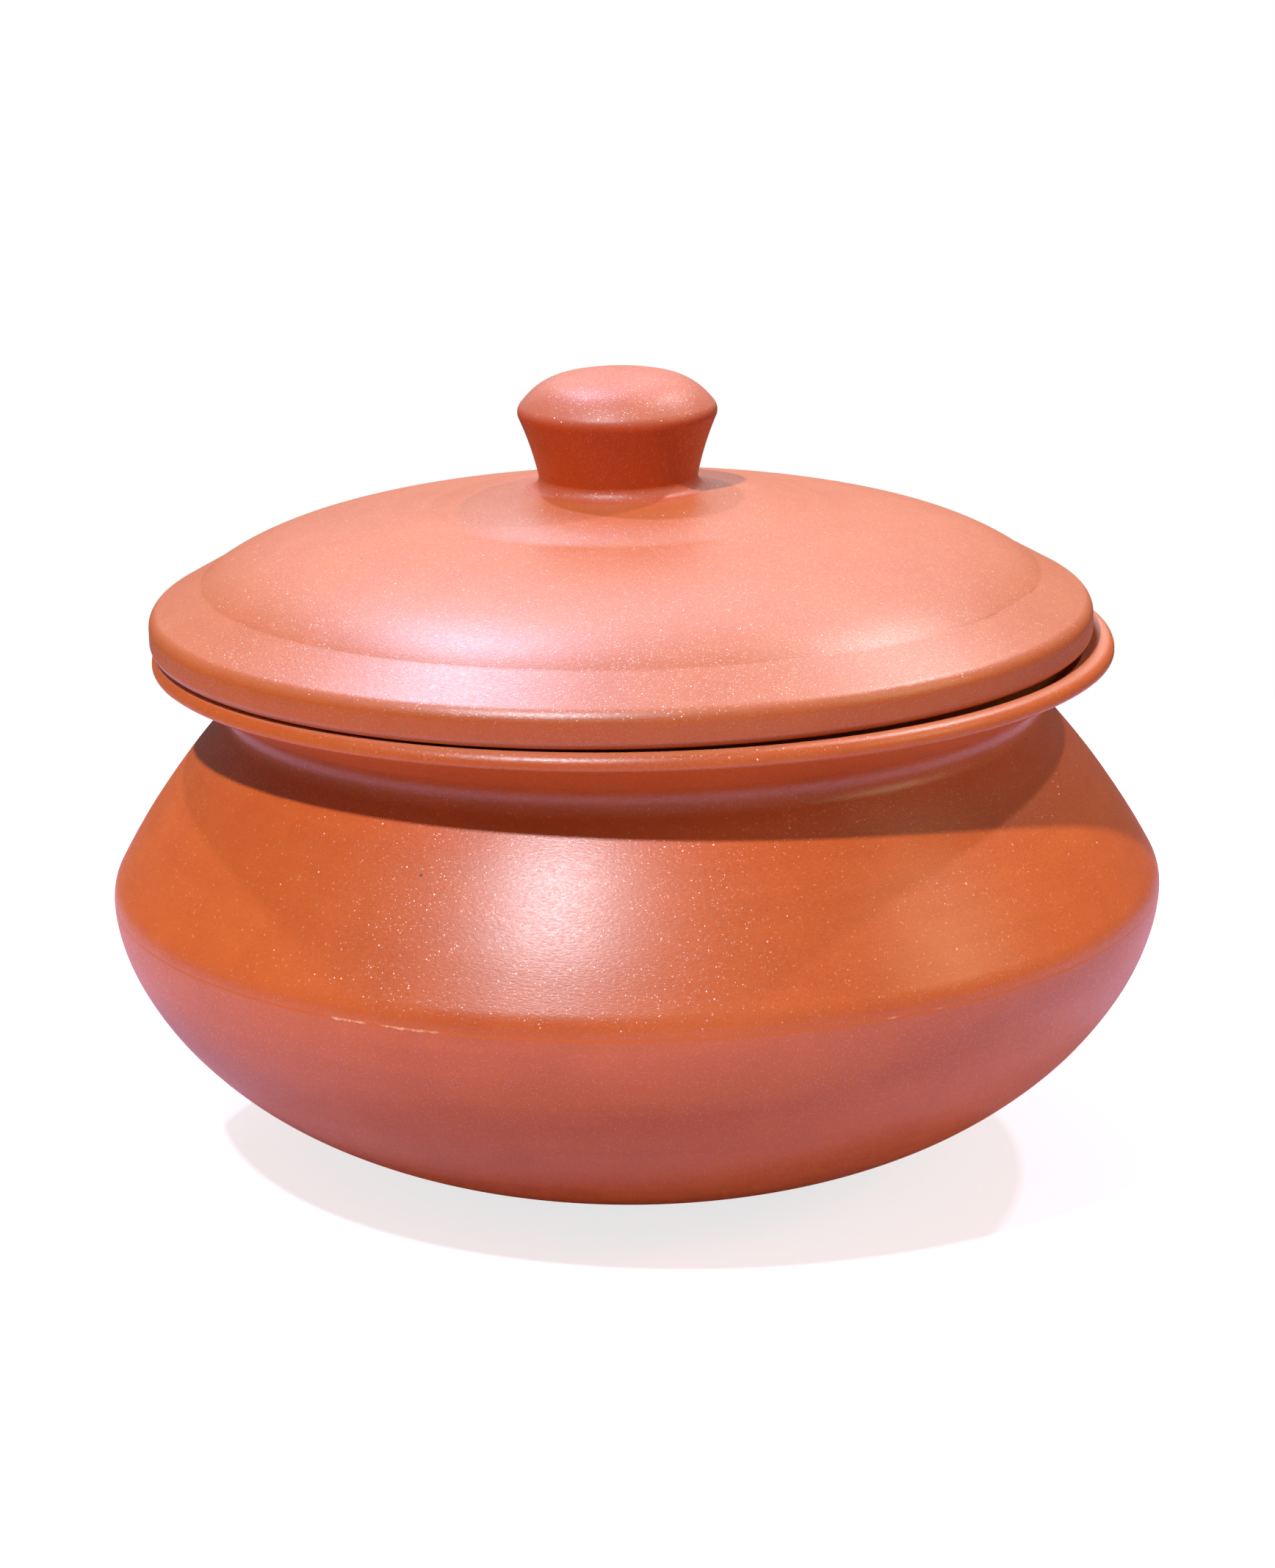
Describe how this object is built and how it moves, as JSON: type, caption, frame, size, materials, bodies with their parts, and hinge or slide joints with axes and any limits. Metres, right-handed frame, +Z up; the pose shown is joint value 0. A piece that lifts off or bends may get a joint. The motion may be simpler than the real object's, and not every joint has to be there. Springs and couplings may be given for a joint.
{
  "type": "clay biryani pot",
  "caption": "Round-bellied unglazed clay cooking pot with a leaning shoulder, an everted rim and a lift-off domed lid with a flared knob, for slow-cooked rice.",
  "frame": {"origin": "centre of the flat base, on the surface that the pot stands on", "axes": "+Z up along the pot's axis, -Y towards the viewer of the picture, +X to that viewer's right"},
  "size_m": [0.2652, 0.2652, 0.1996],
  "materials": {
    "burnished_clay": "unglazed burnished terracotta with fine mica",
    "luting_slip": "matt dried clay slip"
  },
  "bodies": {
    "pot": {"bowl": "burnished_clay", "seam_slip": "luting_slip", "shoulder": "burnished_clay"},
    "lid": {"lid_shell": "burnished_clay", "knob_slip": "luting_slip", "lid_knob": "burnished_clay"}
  },
  "joints": [
    {"name": "lid_lift", "type": "slide", "parent": "pot", "child": "lid", "axis": [0, 0, 1], "range_m": [0, 0.12]}
  ]
}
